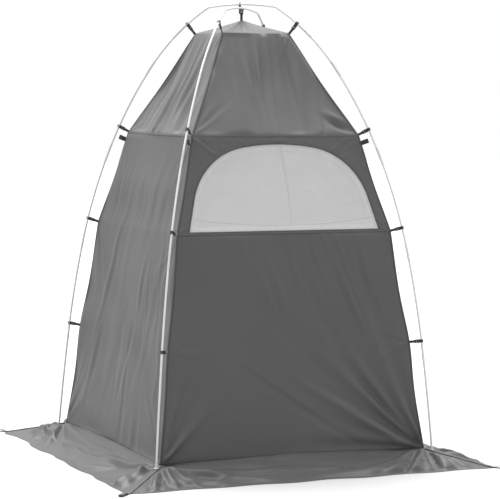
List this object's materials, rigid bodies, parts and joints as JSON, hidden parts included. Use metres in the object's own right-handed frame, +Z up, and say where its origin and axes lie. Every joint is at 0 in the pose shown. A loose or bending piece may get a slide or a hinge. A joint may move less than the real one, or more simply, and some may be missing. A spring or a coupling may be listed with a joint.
{
  "type": "privacy shower tent",
  "caption": "Tall square privacy shower tent on two crossed flexible pole arches, clipped to the outside, with a ground skirt, zipped door, arched window and roof vent cap.",
  "frame": {"origin": "on the ground, under the roof's peak, midway between the four pole feet", "axes": "+Z up, -Y towards the window wall's outside, +Y towards the door wall's outside, X across the door"},
  "size_m": [1.9674, 1.9674, 2.2084],
  "materials": {
    "wall_cloth": "plain weave",
    "roof_cloth": "plain weave",
    "skirt_cloth": "plain weave",
    "window_cloth": "silver-coated plain weave",
    "mesh": "fine net",
    "binding": "folded tape",
    "hook_and_loop": "pile",
    "zip_tape": "woven tape and coil",
    "zip_metal": "satin",
    "pole_tube": "satin, glass-filled",
    "ferrule_metal": "satin",
    "tip_plastic": "satin",
    "shock_cord": "braided elastic",
    "clip_plastic": "moulded",
    "webbing": "ribbed webbing",
    "eyelet_metal": "satin"
  },
  "bodies": {
    "tent": {"apex_hook": "clip_plastic", "apex_strap": "webbing", "corner_binding_back_left": "binding", "corner_binding_back_right": "binding", "corner_binding_front_left": "binding", "corner_binding_front_right": "binding", "door_wall_panel": "wall_cloth", "door_zip_wall_tape": "zip_tape", "ferrules_back_left": "ferrule_metal", "ferrules_back_right": "ferrule_metal", "ferrules_front_left": "ferrule_metal", "ferrules_front_right": "ferrule_metal", "foot_eyelets": "eyelet_metal", "foot_tabs": "webbing", "front_lower_panel": "wall_cloth", "front_mid_seam_piping": "binding", "front_window_panel": "wall_cloth", "guy_loops": "webbing", "inner_arch_shock_cord": "shock_cord", "inner_arch_top_tube": "pole_tube", "left_side_wall": "wall_cloth", "low_clip_hooks": "clip_plastic", "low_clip_straps": "webbing", "mid_clip_hooks": "clip_plastic", "mid_clip_straps": "webbing", "outer_arch_shock_cord": "shock_cord", "outer_arch_top_tube": "pole_tube", "peg_loops": "webbing", "pole_sections_back_left": "pole_tube", "pole_sections_back_right": "pole_tube", "pole_sections_front_left": "pole_tube", "pole_sections_front_right": "pole_tube", "pole_tips": "tip_plastic", "right_side_wall": "wall_cloth", "roof_cap": "roof_cloth", "roof_slope_back": "roof_cloth", "roof_slope_front": "roof_cloth", "roof_slope_left": "roof_cloth", "roof_slope_right": "roof_cloth", "shoulder_clip_hooks": "clip_plastic", "shoulder_clip_straps": "webbing", "shoulder_seam_piping": "binding", "shower_hanging_loop": "webbing", "skirt_back": "skirt_cloth", "skirt_corner_strips": "skirt_cloth", "skirt_front": "skirt_cloth", "skirt_left": "skirt_cloth", "skirt_right": "skirt_cloth", "top_clip_hooks": "clip_plastic", "top_clip_straps": "webbing", "window_binding": "binding", "window_hook_strip": "hook_and_loop", "window_mesh": "mesh"},
    "door": {"door_panel": "wall_cloth", "door_zip_door_tape": "zip_tape"},
    "zip_slider": {"door_zip_slider": "zip_metal"},
    "pull_outside": {"door_pull_outside": "zip_metal"},
    "pull_inside": {"door_pull_inside": "zip_metal"},
    "window_flap_body": {"window_flap": "window_cloth", "window_loop_strip": "hook_and_loop"}
  },
  "joints": [
    {"name": "door_hinge", "type": "hinge", "parent": "tent", "child": "door", "pos_m": [0.289, 0.69058, 0.108], "axis": [0, 0.155, -0.9879], "range_deg": [0, 90]},
    {"name": "door_zip_slide", "type": "slide", "parent": "tent", "child": "zip_slider", "axis": [0, -0.1217, 0.9926], "range_m": [0, 0.96]},
    {"name": "door_pull_outside_hinge", "type": "hinge", "parent": "zip_slider", "child": "pull_outside", "pos_m": [-0.3117, 0.67937, 0.12295], "axis": [1, 0, 0], "range_deg": [-2, 150]},
    {"name": "door_pull_inside_hinge", "type": "hinge", "parent": "zip_slider", "child": "pull_inside", "pos_m": [-0.3117, 0.66428, 0.1211], "axis": [-1, 0, 0], "range_deg": [-5, 150]},
    {"name": "window_flap_hinge", "type": "hinge", "parent": "tent", "child": "window_flap_body", "pos_m": [0, -0.54475, 1.11574], "axis": [-1, 0, 0], "range_deg": [0, 165]}
  ]
}
